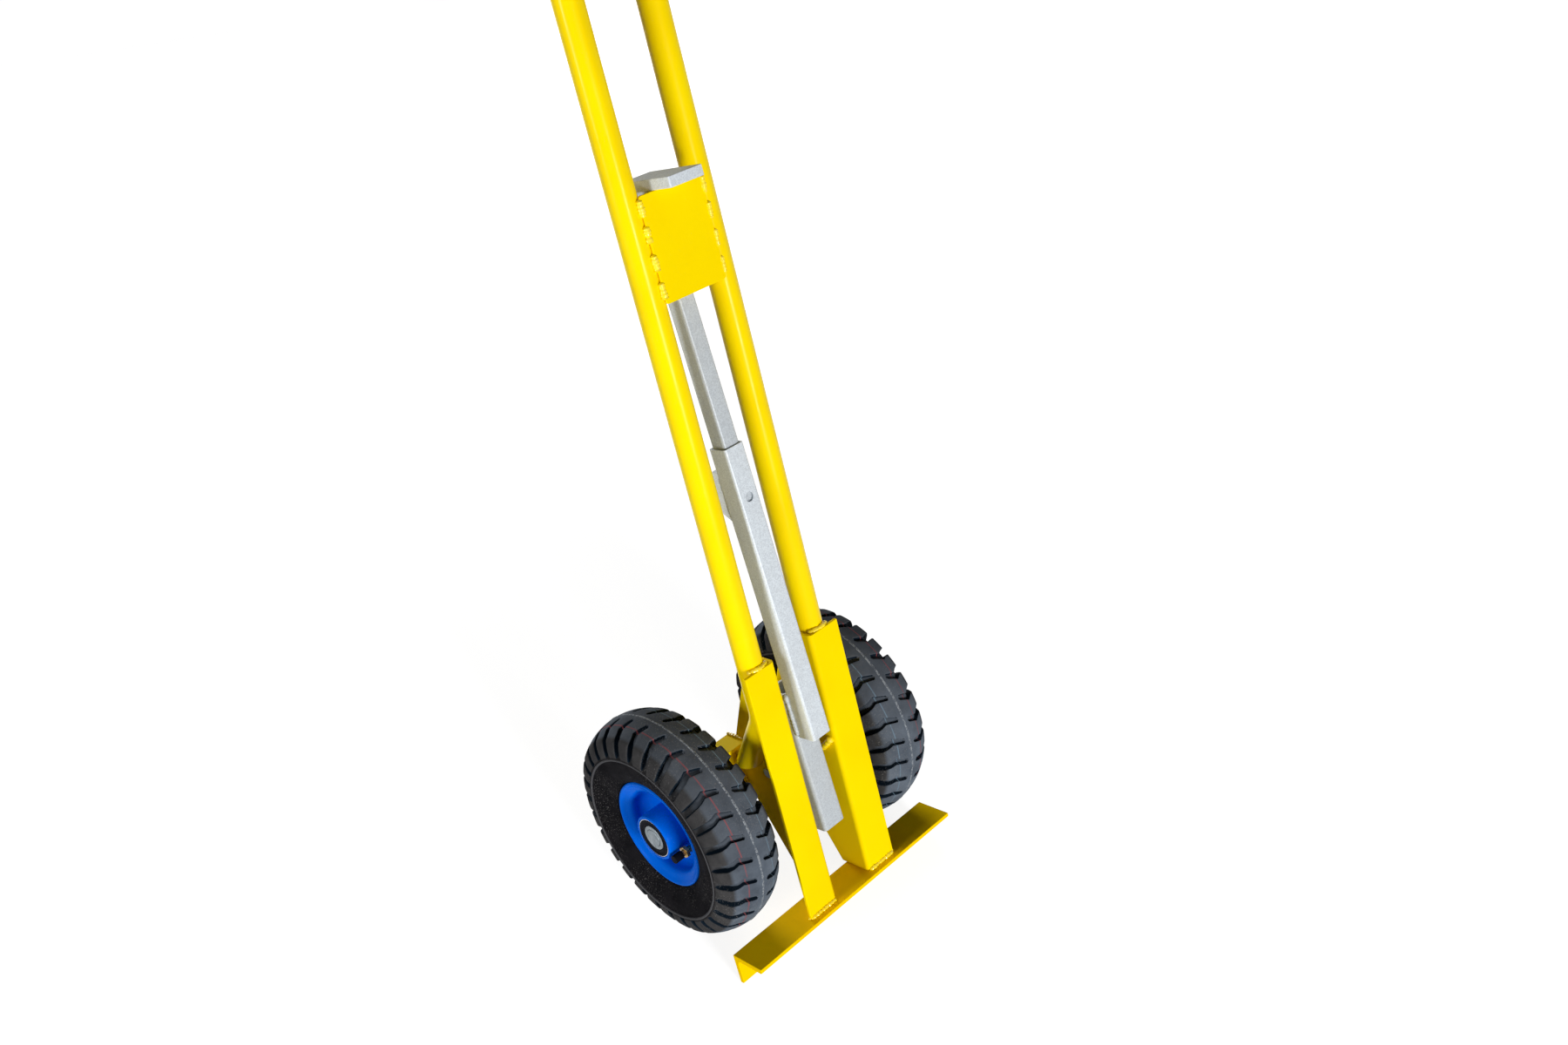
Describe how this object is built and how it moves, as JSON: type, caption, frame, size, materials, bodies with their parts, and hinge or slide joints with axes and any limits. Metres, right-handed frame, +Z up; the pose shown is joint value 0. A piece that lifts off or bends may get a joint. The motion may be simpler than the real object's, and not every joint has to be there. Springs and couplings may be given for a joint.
{
  "type": "tile cart",
  "caption": "Two-wheeled tile cart with a toe angle, twin bent handle tubes, pneumatic tyres and a swinging telescopic arm with a flat hook bar that holds the stack.",
  "frame": {"origin": "middle of the underside of the whole cart's box, on the floor", "axes": "+X along the axle to the wheel drawn on the right when seen from the front, +Y backwards, +Z up"},
  "size_m": [0.4044, 0.3798, 1.0224],
  "materials": {
    "yellow_paint": "gloss paint",
    "galvanised_steel": "galvanised, fine spangle",
    "blue_paint": "gloss paint",
    "tyre_rubber": "matt, moulded tread",
    "black_rubber": "matt",
    "bright_steel": "turned",
    "bearing_steel": "polished",
    "black_plastic": "matt",
    "brass": "turned",
    "spring_steel": "drawn"
  },
  "bodies": {
    "frame": {"axle_shaft": "bright_steel", "axle_tube": "yellow_paint", "axle_washers": "bright_steel", "left_axle_bracket": "yellow_paint", "left_bearing_core": "bright_steel", "left_bearing_inner_rings": "bright_steel", "left_grip": "black_rubber", "left_handle_tube": "yellow_paint", "left_leg": "yellow_paint", "name_plate": "yellow_paint", "pivot_pin": "bright_steel", "pivot_spacers": "bright_steel", "right_axle_bracket": "yellow_paint", "right_bearing_core": "bright_steel", "right_bearing_inner_rings": "bright_steel", "right_grip": "black_rubber", "right_handle_tube": "yellow_paint", "right_leg": "yellow_paint", "toe_angle": "yellow_paint"},
    "left_wheel": {"left_tyre": "tyre_rubber", "left_air_tube": "black_rubber", "left_rim_outer_half": "blue_paint", "left_rim_inner_half": "blue_paint", "left_hub": "blue_paint", "left_bearing_outer_rings": "bearing_steel", "left_bearing_seals": "black_plastic", "left_valve_stem": "brass", "left_valve_cap": "black_plastic"},
    "right_wheel": {"right_tyre": "tyre_rubber", "right_air_tube": "black_rubber", "right_rim_outer_half": "blue_paint", "right_rim_inner_half": "blue_paint", "right_hub": "blue_paint", "right_bearing_outer_rings": "bearing_steel", "right_bearing_seals": "black_plastic", "right_valve_stem": "brass", "right_valve_cap": "black_plastic"},
    "arm": {"arm_outer_tube": "galvanised_steel", "arm_tail": "galvanised_steel", "hinge_ears": "galvanised_steel", "hinge_bush": "bright_steel", "lock_housing": "galvanised_steel", "lock_cap": "bright_steel", "lock_spring": "spring_steel"},
    "hook": {"arm_inner_tube": "galvanised_steel", "hook_bar": "galvanised_steel"},
    "lock": {"lock_pin": "bright_steel", "lock_knob": "black_plastic"}
  },
  "joints": [
    {"name": "left_wheel_spin", "type": "hinge", "parent": "frame", "child": "left_wheel", "pos_m": [-0.12065, -0.03103, 0.13], "axis": [1, 0, 0], "continuous": true},
    {"name": "right_wheel_spin", "type": "hinge", "parent": "frame", "child": "right_wheel", "pos_m": [0.11365, -0.03103, 0.13], "axis": [1, 0, 0], "continuous": true},
    {"name": "arm_swing", "type": "hinge", "parent": "frame", "child": "arm", "pos_m": [0, -0.07487, 0.16649], "axis": [-1, 0, 0], "range_deg": [0, 75]},
    {"name": "hook_slide", "type": "slide", "parent": "arm", "child": "hook", "axis": [0, 0.3863, 0.9224], "range_m": [0, 0.18]},
    {"name": "lock_pin_slide", "type": "slide", "parent": "arm", "child": "lock", "axis": [0, -0.9224, 0.3863], "range_m": [0, 0.008]}
  ]
}
